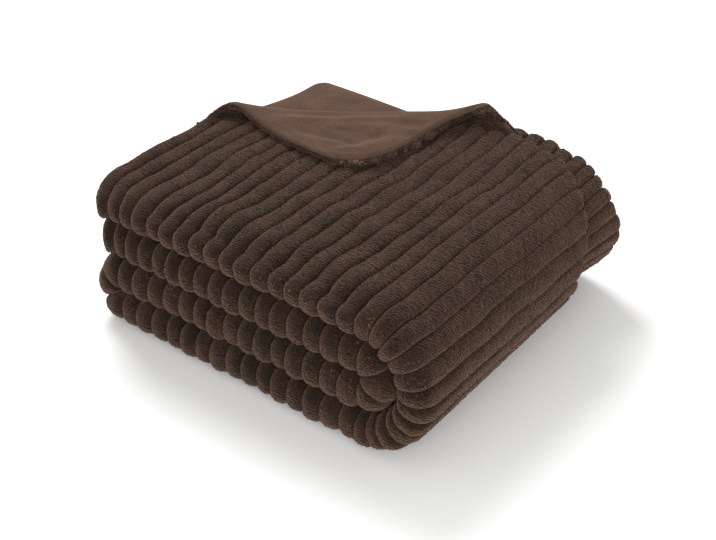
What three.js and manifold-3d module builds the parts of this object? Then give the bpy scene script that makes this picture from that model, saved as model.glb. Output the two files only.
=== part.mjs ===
// Plush fleece throw with broad raised ribs, folded into a square stack of four tiers with its top
// back-left corner turned back. Millimetres, +Z up. The ribs run front to back along Y, the rounded
// front folds face -Y, and the tiers are wrapped over one another at the right (+X) and left ends.

import * as THREE from 'three';
import { mergeVertices } from 'three/addons/utils/BufferGeometryUtils.js';
import Module from 'manifold-3d';

// Driving sizes
const tierPitch = 52.5;
const layersPerTier = 4;
const layerGap = 1.2;
const ribDepth = 5;
const turnX = 450;
const leftBendX = 50;
const tierOneHemX = 4;
const tierTwoHemX = 8;

// Sizes that follow from them
const layerPitch = tierPitch / layersPerTier;
const clothThickness = layerPitch - layerGap;
const outerFace = 1.5 * layerPitch + clothThickness / 2;
const outerLining = 1.5 * layerPitch - clothThickness / 2;
const innerLining = 0.5 * layerPitch + clothThickness / 2;
const innerFace = 0.5 * layerPitch - clothThickness / 2;
const floorLift = outerFace - tierPitch / 2;
const topLayerUnderside = 3.5 * tierPitch + outerLining + floorLift;
const topLayerTop = 3.5 * tierPitch + outerFace + floorLift;

// Turned-back corner: its crest is a straight line seen from above, from the left hem to the back hem
const crestStart = new THREE.Vector2(26, 257);
const crestEnd = new THREE.Vector2(330, 462);
const flapThickness = 9.6;
const flapRise = 1.0;
const flapRoot = 16;
const reverseThickness = 1.5;
const pieceGap = 0.3;
const crestRadius = { middle: 7, ends: 13.5 };
const restingClearance = 2;
const settleLength = 60;
const startLift = 3;
const endLift = 13;
const liftRadius = 34;

// Soft unevenness of the stack: the left ends' front corners are pinched in, the top tier's left hem runs
// askew, the ribs sway, the foot of the right-hand turn is drawn in and the layers swell a little.
const leftEndReach = 220;
const pinchReach = 70;
const upperPinch = 26;
const lowerPinch = 4;
const hemSkew = 46;
const ribSway = 3;
const footTuck = 3;
const footTuckSlope = 1 / 35;
const swellShare = 0.006;
const swellLength = 70;

// Rounding and dips of the hems' edges
const hemRounding = 2;
const hemScallop = 4;

// Higher than anything in the stack, for the boxes that cut it
const cutTop = 300;

// The path of a tier's middle line across the stack, in order along the ribs' width.
// A straight runs in X at a level counted in tiers; a turn is an arc, angles in degrees from +X.
const stretches = [
  { kind: 'straight', from: tierOneHemX, to: turnX, level: 3.5, ribs: 17 },
  { kind: 'turn', centre: turnX, level: 2, tiers: 1.5, from: 90, to: -90, ribs: 12, outward: 1 },
  { kind: 'straight', from: turnX, to: leftBendX, level: 0.5, ribs: 15, faceDown: true, onFloor: true },
  { kind: 'turn', centre: leftBendX, level: 1, tiers: 0.5, from: 270, to: 90, ribs: 3, outward: 1 },
  { kind: 'straight', from: leftBendX, to: turnX, level: 1.5, ribs: 15 },
  { kind: 'turn', centre: turnX, level: 2, tiers: 0.5, from: -90, to: 90, ribs: 3, outward: -1 },
  { kind: 'straight', from: turnX, to: tierTwoHemX, level: 2.5, ribs: 17, faceDown: true },
];

// How far back the hems and the back fold reach, how far the fold puffs up past the hems, and how long
// the front folds' noses are. at: stretches gone by, counted along the path.
const depthRows = [
  { at: 0.0, hem: 466, innerHem: 438, fold: 450, puff: 0, nose: 44 },
  { at: 0.45, hem: 468, innerHem: 438, fold: 458, puff: 0, nose: 44 },
  { at: 0.75, hem: 466, innerHem: 442, fold: 520, puff: 6, nose: 46 },
  { at: 0.9, hem: 455, innerHem: 438, fold: 518, puff: 5, nose: 46 },
  { at: 1.0, hem: 443, innerHem: 430, fold: 502, puff: 4, nose: 42 },
  { at: 1.25, hem: 400, innerHem: 396, fold: 482, puff: 6, nose: 36 },
  { at: 1.5, hem: 345, innerHem: 350, fold: 486, puff: 12, nose: 32 },
  { at: 1.8, hem: 350, innerHem: 345, fold: 500, puff: 24, nose: 30 },
  { at: 2.0, hem: 380, innerHem: 370, fold: 496, puff: 24, nose: 28 },
  { at: 3.0, hem: 420, innerHem: 400, fold: 466, puff: 10, nose: 28 },
  { at: 5.0, hem: 440, innerHem: 420, fold: 470, puff: 4, nose: 28 },
  { at: 7.0, hem: 452, innerHem: 432, fold: 462, puff: 0, nose: 30 },
];

// The turned-back corner's hem: how much cloth lies past the crest's start, at places along the crest.
const flapRows = [
  { along: -22, reach: 12 },
  { along: 0, reach: 30 },
  { along: 20, reach: 34 },
  { along: 37, reach: 44 },
  { along: 54, reach: 63 },
  { along: 71, reach: 86 },
  { along: 94, reach: 108 },
  { along: 137, reach: 144 },
  { along: 170, reach: 164 },
  { along: 195, reach: 170 },
  { along: 223, reach: 159 },
  { along: 255, reach: 137 },
  { along: 286, reach: 104 },
  { along: 312, reach: 69 },
  { along: 325, reach: 56 },
  { along: 338, reach: 48 },
  { along: 347, reach: 44 },
  { along: 356, reach: 39 },
  { along: 363, reach: 34 },
  { along: 370, reach: 28 },
  { along: 375, reach: 20 },
];

const wasm = await Module();
wasm.setup();

// Rises smoothly from 0 at start to 1 at end, whichever of the two is larger
function smoothstep(start, end, value) {
  const t = Math.min(Math.max((value - start) / (end - start), 0), 1);
  return t * t * (3 - 2 * t);
}

function readRows(rows, key, column, value) {
  const last = rows.length - 1;
  if (value <= rows[0][key]) {
    return rows[0][column];
  }
  for (let i = 0; i < last; i += 1) {
    if (value <= rows[i + 1][key]) {
      const blend = (value - rows[i][key]) / (rows[i + 1][key] - rows[i][key]);
      return rows[i][column] + blend * (rows[i + 1][column] - rows[i][column]);
    }
  }
  return rows[last][column];
}

// A soft round rise about a place, from 0 to 1
function hump(x, y, place) {
  return Math.exp(-((x - place.x) ** 2 + (y - place.y) ** 2) / (2 * liftRadius ** 2));
}

// A steady small unevenness from -1 to 1 for each rib
function unevenness(index) {
  return Math.sin(index * 2.4) * Math.cos(index * 5.3 + 1);
}

// How far the top layer is lifted where the turned-back corner's crest starts and ends
function crestLift(x, y) {
  return startLift * hump(x, y, crestStart) + endLift * hump(x, y, crestEnd);
}

// Where a point of the even stack lies in the soft one
function settle(x, y, z) {
  const leftness = Math.max(0, 1 - x / leftEndReach) ** 2;
  const upperHalf = z >= 2 * tierPitch + floorLift;
  const topTier = z >= 3 * tierPitch + floorLift;
  const pinch = (upperHalf ? upperPinch : lowerPinch) * Math.max(0, 1 - y / pinchReach) ** 2;
  const skew = topTier ? hemSkew * smoothstep(200, 400, y) : 0;
  const sway = ribSway * Math.sin(y / 70 + x / 90) * smoothstep(60, 140, x) * smoothstep(440, 380, x);
  const tuck = (footTuck + y * footTuckSlope) * smoothstep(400, 520, x) * smoothstep(110, 25, z);
  const swell = 1 + swellShare * Math.sin(x / swellLength);
  return new THREE.Vector3(x + leftness * (pinch + skew) + sway - tuck, y, z * swell);
}

// Stations half a rib apart along the path: even ones lie in a valley, odd ones on a rib's crest
function makeStations() {
  const stations = [];
  stretches.forEach((stretch, number) => {
    const steps = 2 * stretch.ribs;
    const firstStep = number === 0 ? 0 : 1;
    for (let step = firstStep; step <= steps; step += 1) {
      const fraction = step / steps;
      const station = { at: number + fraction, valley: step % 2 === 0, onFloor: Boolean(stretch.onFloor) };
      const level = stretch.level * tierPitch + floorLift;
      if (stretch.kind === 'straight') {
        station.x = THREE.MathUtils.lerp(stretch.from, stretch.to, fraction);
        station.z = level;
        station.normal = [0, stretch.faceDown ? -1 : 1];
      } else {
        const angle = THREE.MathUtils.degToRad(THREE.MathUtils.lerp(stretch.from, stretch.to, fraction));
        const radius = stretch.tiers * tierPitch;
        station.x = stretch.centre + radius * Math.cos(angle);
        station.z = level + radius * Math.sin(angle);
        station.normal = [stretch.outward * Math.cos(angle), stretch.outward * Math.sin(angle)];
      }
      stations.push(station);
    }
  });
  return stations;
}

// One arc of a fold, as points with their outward normals. Angles in degrees: 90 is up, 0 points along bulge.
function foldArc(centreY, centreW, radius, stretchY, bulge, angles, side) {
  return angles.map((degrees) => {
    const angle = THREE.MathUtils.degToRad(degrees);
    return {
      y: centreY + bulge * stretchY * radius * Math.cos(angle),
      w: centreW + radius * Math.sin(angle),
      ny: side * bulge * Math.cos(angle),
      nw: side * Math.sin(angle),
    };
  });
}

// The back-and-forth section of one tier's four layers, in Y and in distance w from the tier's middle line.
// Both sides of the cloth are listed from the top layer's hem to the inner hem.
function sectionPoints(station, index) {
  const hem = readRows(depthRows, 'at', 'hem', station.at);
  const innerHem = readRows(depthRows, 'at', 'innerHem', station.at);
  const fold = readRows(depthRows, 'at', 'fold', station.at);
  const puff = readRows(depthRows, 'at', 'puff', station.at);
  const nose = readRows(depthRows, 'at', 'nose', station.at);
  const front = 1.5 * unevenness(Math.floor((index + 1) / 2));
  const backRadius = (outerFace - innerFace + puff) / 2;
  const backLevel = backRadius - outerFace;
  const foldY = fold - backRadius;
  const noseStretch = nose / outerFace;
  const noseY = front + nose;
  const scallop = station.valley ? hemScallop : 0;
  const puffStart = Math.min(innerHem + 6, foldY - 6);
  const face = [];
  face.push({ y: hem - scallop, w: outerFace - hemRounding, ny: 0, nw: 1 });
  for (const share of [0.94, 0.5]) {
    face.push({ y: THREE.MathUtils.lerp(noseY, hem, share), w: outerFace, ny: 0, nw: 1 });
  }
  face.push(...foldArc(noseY, 0, outerFace, noseStretch, -1, [90, 54, 18, -18, -54, -90], 1));
  face.push(...foldArc(foldY, backLevel, backRadius, 1, 1, [-90, -30, 30, 90], 1));
  face.push({ y: puffStart, w: -innerFace, ny: 0, nw: 1 });
  face.push({ y: noseY, w: -innerFace, ny: 0, nw: 1 });
  face.push({ y: noseY, w: innerFace, ny: 0, nw: -1 });
  face.push({ y: innerHem - scallop, w: innerFace, ny: 0, nw: -1 });
  const reverse = [];
  for (const share of [1, 0.94, 0.5]) {
    reverse.push({ y: THREE.MathUtils.lerp(noseY, hem, share), w: outerLining });
  }
  reverse.push(...foldArc(noseY, 0, outerLining, noseStretch, -1, [90, 30, -30, -90], -1));
  reverse.push({ y: foldY, w: -outerLining });
  reverse.push({ y: foldY, w: puff - innerLining });
  reverse.push({ y: puffStart, w: -innerLining });
  reverse.push(...foldArc(noseY, 0, innerLining, noseStretch, -1, [-90, -30, 30, 90], 1));
  reverse.push({ y: innerHem, w: innerLining });
  const depth = station.valley ? ribDepth : 0;
  const ribbed = face.map((point) => {
    const pressed = station.onFloor && point.w > outerFace - 1;
    const sink = pressed ? 0 : depth;
    return { y: point.y - sink * point.ny, w: point.w - sink * point.nw };
  });
  return { near: reverse, far: ribbed };
}

function solidFromTriangles(vertices, triangles) {
  const mesh = new wasm.Mesh({
    numProp: 3,
    vertProperties: new Float32Array(vertices),
    triVerts: new Uint32Array(triangles),
  });
  return new wasm.Manifold(mesh);
}

// Triangles that close the end of a strip of cloth, stepping along its two sides by the shorter way
function endCap(near, far) {
  const triangles = [];
  const last = near.length + far.length - 1;
  let i = 0;
  let j = 0;
  while (i + 1 < near.length || j + 1 < far.length) {
    const nearWay = i + 1 < near.length ? near[i + 1].distanceTo(far[j]) : Infinity;
    const farWay = j + 1 < far.length ? near[i].distanceTo(far[j + 1]) : Infinity;
    if (nearWay <= farWay) {
      triangles.push([i, i + 1, last - j]);
      i += 1;
    } else {
      triangles.push([i, last - j - 1, last - j]);
      j += 1;
    }
  }
  return triangles;
}

// Joins a list of cloth sections, each with the same number of points on its near and far side, into
// one solid. Both sides are split along the same diagonals, so that they stay apart where they twist.
function loft(sections) {
  const rings = sections.map(({ near, far }) => [...near, ...far.toReversed()]);
  const nearPoints = sections[0].near.length;
  const size = rings[0].length;
  const vertices = rings.flatMap((ring) => ring.flatMap((point) => point.toArray()));
  const triangles = [];
  for (let i = 0; i + 1 < rings.length; i += 1) {
    for (let j = 0; j < size; j += 1) {
      const a = i * size + j;
      const b = i * size + ((j + 1) % size);
      if (j < nearPoints) {
        triangles.push(a, a + size, b, b, a + size, b + size);
      } else {
        triangles.push(a, a + size, b + size, a, b + size, b);
      }
    }
  }
  const first = sections[0];
  for (const [a, b, c] of endCap(first.near, first.far)) {
    triangles.push(a, b, c);
  }
  const end = sections[sections.length - 1];
  const base = (rings.length - 1) * size;
  for (const [a, b, c] of endCap(end.near, end.far)) {
    triangles.push(base + a, base + c, base + b);
  }
  return solidFromTriangles(vertices, triangles);
}

function solidFromGeometry(geometry) {
  const bare = geometry.clone();
  bare.deleteAttribute('normal');
  bare.deleteAttribute('uv');
  const merged = mergeVertices(bare);
  return solidFromTriangles(merged.attributes.position.array, merged.index.array);
}

// A box beyond (or before) a line parallel to the crest, between two heights
function crestSideBox(offset, beyond, low, high) {
  const reach = 1200;
  const geometry = new THREE.BoxGeometry(reach, reach, high - low);
  const shift = beyond ? offset + reach / 2 : offset - reach / 2;
  geometry.translate(0, shift, (low + high) / 2);
  geometry.rotateZ(crestDirection.angle());
  geometry.translate(crestStart.x, crestStart.y, 0);
  return solidFromGeometry(geometry);
}

const crestDirection = crestEnd.clone().sub(crestStart).normalize();
const crestNormal = new THREE.Vector2(-crestDirection.y, crestDirection.x);
const crestLength = crestStart.distanceTo(crestEnd);
const flapRootHeight = topLayerUnderside + flapRise + flapThickness / 2;

// Where the cloth leaves the layer below it, measured across the crest's outermost line
function creaseOffset(radius) {
  return -(radius + flapThickness / 2 + pieceGap + reverseThickness);
}

function crestRadiusAt(along) {
  const fromMiddle = Math.abs(along / crestLength - 0.5) * 2;
  return THREE.MathUtils.lerp(crestRadius.middle, crestRadius.ends, Math.min(fromMiddle, 1.1) ** 3);
}

// A point of the turned-back corner: along the crest, past the crease, and off the cloth's middle
// towards the ribbed face
function flapPoint(along, past, off) {
  const radius = crestRadiusAt(along);
  const creaseAt = creaseOffset(radius);
  const bend = Math.PI * radius;
  const resting = topLayerTop + restingClearance + flapThickness / 2;
  let across = creaseAt + past;
  let height = flapRootHeight;
  let angle = 0;
  if (past > bend) {
    const flat = past - bend;
    const settled = smoothstep(0, settleLength, flat);
    across = creaseAt - flat;
    height = THREE.MathUtils.lerp(flapRootHeight + 2 * radius, resting, settled);
    angle = Math.PI;
  } else if (past > 0) {
    angle = past / radius;
    across = creaseAt + radius * Math.sin(angle);
    height = flapRootHeight + radius * (1 - Math.cos(angle));
  }
  across -= off * Math.sin(angle);
  height += off * Math.cos(angle);
  const flat = crestStart.clone().addScaledVector(crestDirection, along).addScaledVector(crestNormal, across);
  return new THREE.Vector3(flat.x, flat.y, height + crestLift(flat.x, flat.y));
}

// Places across the turned-back corner at one row: round the crest, then out to the hem
function flapSteps(row) {
  const bend = Math.min(Math.PI * crestRadiusAt(row.along), 0.9 * row.reach);
  const steps = [0, 1, 2, 3, 4, 5, 6].map((i) => (bend * i) / 6);
  for (const share of [0.3, 0.65, 1]) {
    steps.push(THREE.MathUtils.lerp(bend, row.reach, share));
  }
  return steps;
}

function turnedBackCloth() {
  const half = flapThickness / 2;
  const sections = flapRows.map((row) => {
    const steps = flapSteps(row);
    const near = steps.map((past) => flapPoint(row.along, past, half));
    const far = steps.map((past) => flapPoint(row.along, past, -half));
    near.unshift(flapPoint(row.along, -flapRoot, half - ribDepth));
    far.unshift(flapPoint(row.along, -flapRoot, -half));
    return { near, far };
  });
  return loft(sections);
}

function turnedBackReverse() {
  const offset = flapThickness / 2 + pieceGap;
  const sections = flapRows.map((row) => {
    const steps = flapSteps(row).slice(1);
    const near = steps.map((past) => flapPoint(row.along, past, -offset));
    const far = steps.map((past) => flapPoint(row.along, past, -offset - reverseThickness));
    return { near, far };
  });
  return loft(sections);
}

// The smooth reverse of the layer that the turned-back corner uncovers
function uncoveredReverse() {
  const low = 3.5 * tierPitch + innerLining + floorLift + pieceGap;
  const left = tierOneHemX + 1;
  const right = turnX - 130;
  const front = 200;
  const back = depthRows[0].innerHem - 1;
  const columns = 12;
  const rows = 8;
  const sections = [];
  for (let i = 0; i <= columns; i += 1) {
    const x = THREE.MathUtils.lerp(left, right, i / columns);
    const section = { near: [], far: [] };
    for (let j = 0; j <= rows; j += 1) {
      const y = THREE.MathUtils.lerp(front, back, j / rows);
      section.near.push(settle(x, y, low + reverseThickness));
      section.far.push(settle(x, y, low));
    }
    sections.push(section);
  }
  const crestClearance = 1;
  return loft(sections).subtract(crestSideBox(-crestClearance, false, 0, cutTop));
}

function foldedCloth() {
  const sections = makeStations().map((station, index) => {
    const place = ({ y, w }) => {
      const x = station.x + station.normal[0] * w;
      const z = Math.max(station.z + station.normal[1] * w, 0);
      const point = settle(x, y, z);
      const inTopLayer = station.at <= 1 && w > outerLining - layerGap / 2;
      point.z += inTopLayer ? crestLift(point.x, point.y) : 0;
      return point;
    };
    const { near, far } = sectionPoints(station, index);
    return { near: near.map(place), far: far.map(place) };
  });
  return loft(sections);
}

function faceCloth() {
  const cutAt = creaseOffset(crestRadius.ends);
  const corner = crestSideBox(cutAt, true, topLayerUnderside - layerGap / 2, cutTop);
  return foldedCloth().subtract(corner).add(turnedBackCloth());
}

function meshOf(solid, name, material) {
  const { vertProperties, triVerts } = solid.getMesh();
  const geometry = new THREE.BufferGeometry();
  geometry.setAttribute('position', new THREE.BufferAttribute(new Float32Array(vertProperties), 3));
  geometry.setIndex(new THREE.BufferAttribute(new Uint32Array(triVerts), 1));
  geometry.computeVertexNormals();
  const mesh = new THREE.Mesh(geometry, material);
  mesh.name = name;
  return mesh;
}

const ribbedPlush = new THREE.MeshStandardMaterial({ color: 0x5c4c42, roughness: 0.95, metalness: 0 });
const smoothPlush = new THREE.MeshStandardMaterial({ color: 0x7a6858, roughness: 0.85, metalness: 0 });

const throwBlanket = new THREE.Group();
throwBlanket.add(meshOf(faceCloth(), 'face_cloth', ribbedPlush));
throwBlanket.add(meshOf(turnedBackReverse(), 'reverse_flap', smoothPlush));
throwBlanket.add(meshOf(uncoveredReverse(), 'reverse_corner', smoothPlush));

// The origin is the middle of the footprint, on the surface that the stack rests on
const bounds = new THREE.Box3().setFromObject(throwBlanket);
const middle = bounds.getCenter(new THREE.Vector3());
throwBlanket.position.set(-middle.x, -middle.y, -bounds.min.z);

export default throwBlanket;
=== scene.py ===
import math
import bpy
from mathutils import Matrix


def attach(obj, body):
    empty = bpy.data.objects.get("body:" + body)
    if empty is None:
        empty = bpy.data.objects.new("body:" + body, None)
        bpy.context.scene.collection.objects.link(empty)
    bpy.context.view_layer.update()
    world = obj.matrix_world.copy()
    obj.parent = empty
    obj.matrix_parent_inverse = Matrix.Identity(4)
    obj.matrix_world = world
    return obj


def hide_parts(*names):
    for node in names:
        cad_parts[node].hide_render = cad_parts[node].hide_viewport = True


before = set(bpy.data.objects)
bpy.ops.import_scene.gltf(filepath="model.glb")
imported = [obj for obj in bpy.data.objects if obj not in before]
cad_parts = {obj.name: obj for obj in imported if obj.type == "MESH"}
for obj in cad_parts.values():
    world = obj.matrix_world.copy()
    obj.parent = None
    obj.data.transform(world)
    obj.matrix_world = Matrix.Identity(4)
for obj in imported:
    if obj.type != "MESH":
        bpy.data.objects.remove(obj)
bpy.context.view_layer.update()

from types import SimpleNamespace

import bpy
import numpy as np
from mathutils import Matrix, Vector
from mathutils.bvhtree import BVHTree

MM = 0.001

# The stack's sizes, in millimetres, as its solids have them. x runs from the left hem, y from the front
# folds, z from the floor, and ORIGIN is the row's origin in these coordinates.
ORIGIN = np.array([275.80, 258.71, 0.0])
TIER = 52.5
LAYER_GAP = 1.2
LAYER = TIER / 4
THICKNESS = LAYER - LAYER_GAP
OUTER_FACE = 1.5 * LAYER + THICKNESS / 2
OUTER_LINING = 1.5 * LAYER - THICKNESS / 2
INNER_LINING = 0.5 * LAYER + THICKNESS / 2
INNER_FACE = 0.5 * LAYER - THICKNESS / 2
FLOOR_LIFT = OUTER_FACE - TIER / 2
LEFT_TURN = 50
RIGHT_TURN = 450
TOP_UNDERSIDE = 3.5 * TIER + OUTER_LINING + FLOOR_LIFT
TOP_FACE = 3.5 * TIER + OUTER_FACE + FLOOR_LIFT

# The path of the tiers' middle line: straights from x to x and turns from angle to angle, at levels and
# radii counted in tiers
STRETCHES = [
    dict(kind="straight", start=4, end=RIGHT_TURN, level=3.5, ribs=17, side=1),
    dict(kind="turn", centre=RIGHT_TURN, level=2, tiers=1.5, start=90, end=-90, ribs=12, side=1),
    dict(kind="straight", start=RIGHT_TURN, end=LEFT_TURN, level=0.5, ribs=15, side=-1),
    dict(kind="turn", centre=LEFT_TURN, level=1, tiers=0.5, start=270, end=90, ribs=3, side=1),
    dict(kind="straight", start=LEFT_TURN, end=RIGHT_TURN, level=1.5, ribs=15, side=1),
    dict(kind="turn", centre=RIGHT_TURN, level=2, tiers=0.5, start=-90, end=90, ribs=3, side=-1),
    dict(kind="straight", start=RIGHT_TURN, end=8, level=2.5, ribs=17, side=-1),
]
RIBS = sum(s["ribs"] for s in STRETCHES)

# Places across one rib, 0 and 1 in the valleys, closer together where its sides are steep
ACROSS = np.array([0, 0.06, 0.17, 0.33, 0.5, 0.67, 0.83, 0.94])
RIB_PITCH = 26
RIB_HEIGHT = 8.2
NECK_DROP = 5.4
SHOULDER_RISE = 4.6
HEM_DIP = 7
# How much single ribs differ: where their hems, folds, fronts and shoulders lie, and in shares how long
# their noses and how high they are
HEM_STRAY, INNER_HEM_STRAY, FOLD_STRAY, FRONT_STRAY, SHOULDER_STRAY = 2.5, 1.5, 2.5, 2.2, 7
NOSE_STRAY, HEIGHT_STRAY = 0.05, 0.12
# How nearly square the ribs' crests are, on the right turn and elsewhere
TURN_CREST, OPEN_CREST = 4.6, 3.2
NOSE_SQUARENESS = 0.86
# How much of its half thickness a hem's rounding takes in depth, and how far in from a hem its flat starts
HEM_ROUND = 0.8
HEM_CLEAR = 6
# Along a rib of the top layer, back from its rounded front: the middle and the length of its shoulder, of
# its head under the front, and of the neck between them
SHOULDER, HEAD, NECK = (22, 19), (-48, 14), (-17, 11)
# Points along the ribbed face's stretches: the top layer, rounded front, bottom layer and back fold
TOP_POINTS, NOSE_POINTS, BOTTOM_POINTS, FOLD_POINTS = 45, 25, 7, 13

# How the soft stack departs from an even one: how far its left end is drawn in, along x and in from the
# front, the skew at the back of the top tier, the sway, the tuck at the right turn's foot, and the swell
LEFT_END = 220
UPPER_PINCH, LOWER_PINCH, PINCH_DEPTH = 26, 4, 70
TOP_SKEW = 46
SWAY = 3
FOOT_TUCK = 3
SWELL = 0.006

# By stretches gone by: how far back the hems and the back fold reach, the fold's puff, how far the noses
# stand out in front
DEPTH = np.array([
    # stretches, hem, inner hem, fold, puff, nose
    (0.0, 466, 438, 450, 0, 44),
    (0.45, 468, 438, 458, 0, 44),
    (0.75, 466, 442, 520, 6, 46),
    (0.9, 455, 438, 518, 5, 46),
    (1.0, 443, 430, 502, 4, 42),
    (1.25, 400, 396, 482, 6, 36),
    (1.5, 345, 350, 486, 12, 32),
    (1.8, 350, 345, 500, 24, 30),
    (2.0, 380, 370, 496, 24, 28),
    (3.0, 420, 400, 466, 10, 28),
    (5.0, 440, 420, 470, 4, 28),
    (7.0, 452, 432, 462, 0, 30),
])

# The turned-back corner: along its crest, how much cloth lies past the crease, and how far the ribbed
# side's pile stands out past the smooth one at the hem. The rows from 32 to 332 were worked out by
# another script, from points along the hem in the photo and the camera below, and adjusted by hand.
FLAP = np.array([
    (-44, 0, 0), (-34, 3, 0), (-27, 9, 1), (-18, 17, 1), (-4, 25, 1), (10, 32, 1), (22, 36, 1), (32, 43, 1),
    (44, 53, 1), (56, 63, 1), (68, 73, 1), (80, 84, 1), (104, 103, 2), (128, 119, 2), (152, 135, 3),
    (164, 139, 6), (176, 140, 11), (188, 140, 14), (200, 138, 15), (212, 134, 16), (224, 128, 16),
    (236, 119, 16), (248, 106, 16), (260, 94, 16), (272, 81, 16), (284, 68, 16), (296, 58, 15),
    (308, 49, 14), (320, 43, 12), (332, 39, 9), (345, 37, 7), (356, 36, 5), (363, 33, 3), (370, 26, 2),
    (378, 20, 1), (386, 15, 0), (394, 11, 0), (402, 6, 0), (408, 0, 0),
], float)
CREST_START = np.array([26.0, 257.0])
CREST_END = np.array([330.0, 462.0])
CREST_LENGTH = float(np.linalg.norm(CREST_END - CREST_START))
CREST_DIR = (CREST_END - CREST_START) / CREST_LENGTH
CREST_NORMAL = np.array([-CREST_DIR[1], CREST_DIR[0]])
CREST_RADIUS = (7.0, 13.5)
# How much the crest's two ends lift the cloth round them, and how far that spreads
CREST_LIFTS = ((CREST_START, 3), (CREST_END, 13))
CREST_LIFT_SPREAD = 34
CREASE_OFFSET = 14
FLAP_THICKNESS = 9.6
FLAP_SKIN = 1.8
FLAP_REST_GAP = 2
FLAP_ROOT_GAP = 1
FLAP_ROWS = 166
# Points along the corner's section: the ribbed side's bend and flat, the hem, the smooth side's flat and bend
BEND_POINTS, FLAT_POINTS, HEM_POINTS, FACE_POINTS, FACE_BEND_POINTS = 12, 9, 9, 60, 14
TUFT_PITCH = 25
BACK_CORNER = 26.0

# The uncovered reverse: x from and to, y at the front at least and at the back, points each way
UNCOVERED_X = (6, 322)
UNCOVERED_Y = (215, 437)
UNCOVERED_ROWS, UNCOVERED_COLUMNS = 80, 60

NOISE_GRID = 64


# small tools

def smoothstep(start, end, value):
    t = np.clip((value - start) / (end - start), 0, 1)
    return t * t * (3 - 2 * t)


def bump(value, middle, spread):
    """1 at the middle, falling to 0 on both sides."""
    return np.exp(-((value - middle) / spread) ** 2)


def noise(u, v, seed, octaves=1):
    """Smooth random values from -1 to 1 over a plane, the same ones each time."""
    total = np.zeros(np.broadcast(u, v).shape)
    weight = 1.0
    for octave in range(octaves):
        grid = np.random.default_rng(seed * 31 + octave).uniform(-1, 1, (NOISE_GRID, NOISE_GRID))
        a, b = np.asarray(u) * 2 ** octave, np.asarray(v) * 2 ** octave
        i, j = np.floor(a).astype(int), np.floor(b).astype(int)
        s, t = a - i, b - j
        s, t = s * s * (3 - 2 * s), t * t * (3 - 2 * t)
        i, j, i_next, j_next = (k % NOISE_GRID for k in (i, j, i + 1, j + 1))
        near = grid[i, j] * (1 - s) + grid[i_next, j] * s
        far = grid[i, j_next] * (1 - s) + grid[i_next, j_next] * s
        total = total + weight * (near * (1 - t) + far * t)
        weight *= 0.5
    return total


def add_object(name, data):
    added = bpy.data.objects.new(name, data)
    bpy.context.scene.collection.objects.link(added)
    return added


def mesh_object(name, vertices, faces, material, smooth=True):
    """A new object of faces with equally many corners, from points in the stack's millimetres."""
    points = (np.asarray(vertices) - ORIGIN) * MM
    faces = np.asarray(faces, np.int32)
    corners = faces.shape[1]
    mesh = bpy.data.meshes.new(name)
    mesh.vertices.add(len(points))
    mesh.vertices.foreach_set("co", points.astype(np.float32).ravel())
    mesh.loops.add(faces.size)
    mesh.loops.foreach_set("vertex_index", faces.ravel())
    mesh.polygons.add(len(faces))
    mesh.polygons.foreach_set("loop_start", np.arange(0, faces.size, corners, dtype=np.int32))
    mesh.materials.append(material)
    mesh.update(calc_edges=True)
    mesh.polygons.foreach_set("use_smooth", np.full(len(mesh.polygons), smooth))
    return add_object(name, mesh)


def cloth_object(name, vertices, quads, lined, triangles):
    """A new object of quads, ribbed or lined with the smooth reverse, and ribbed end triangles."""
    mesh = bpy.data.meshes.new(name)
    polygons = [tuple(q) for q in quads.tolist()] + [tuple(t) for t in triangles.tolist()]
    mesh.from_pydata(((np.asarray(vertices) - ORIGIN) * MM).tolist(), [], polygons)
    mesh.materials.append(ribbed_plush)
    mesh.materials.append(smooth_plush)
    indices = np.concatenate([lined, np.zeros(len(triangles))]).astype(np.int32)
    mesh.polygons.foreach_set("material_index", indices)
    mesh.polygons.foreach_set("use_smooth", np.ones(len(polygons), bool))
    mesh.update()
    return add_object(name, mesh)


def end_cap(ring, count, take_first, turned):
    """Triangles that close one end of a tube, zipped up between the first and last of its ring's points."""
    triangles = []
    i, j = 0, count - 1
    while i + 1 < j:
        if take_first(i, j):
            a, b, c = ring + i, ring + i + 1, ring + j
            i += 1
        else:
            a, b, c = ring + i, ring + j - 1, ring + j
            j -= 1
        triangles.append((b, a, c) if turned else (a, b, c))
    return triangles


def grid_faces(rows, columns, closed):
    """Quads of a grid whose points run along columns first; closed joins the last column to the first."""
    i = np.arange(rows - 1)[:, None]
    j = np.arange(columns if closed else columns - 1)[None, :]
    k = (j + 1) % columns
    a, b = i * columns + j, i * columns + k
    return np.stack([a, a + columns, b + columns, b], -1).reshape(-1, 4)


# the stack's shape

def path(rib):
    """Middle line, outward normal and stretches gone by, for places counted in ribs."""
    x, z, nx, nz, at = (np.zeros_like(rib) for _ in range(5))
    first = 0
    for number, s in enumerate(STRETCHES):
        inside = (rib >= first) & (rib <= first + s["ribs"])
        part = (rib[inside] - first) / s["ribs"]
        at[inside] = number + part
        level = s["level"] * TIER + FLOOR_LIFT
        if s["kind"] == "straight":
            x[inside] = s["start"] + part * (s["end"] - s["start"])
            z[inside] = level
            nx[inside], nz[inside] = 0, s["side"]
        else:
            angle = np.radians(s["start"] + part * (s["end"] - s["start"]))
            x[inside] = s["centre"] + s["tiers"] * TIER * np.cos(angle)
            z[inside] = level + s["tiers"] * TIER * np.sin(angle)
            nx[inside], nz[inside] = s["side"] * np.cos(angle), s["side"] * np.sin(angle)
        first += s["ribs"]
    return x, z, nx, nz, at


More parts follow.
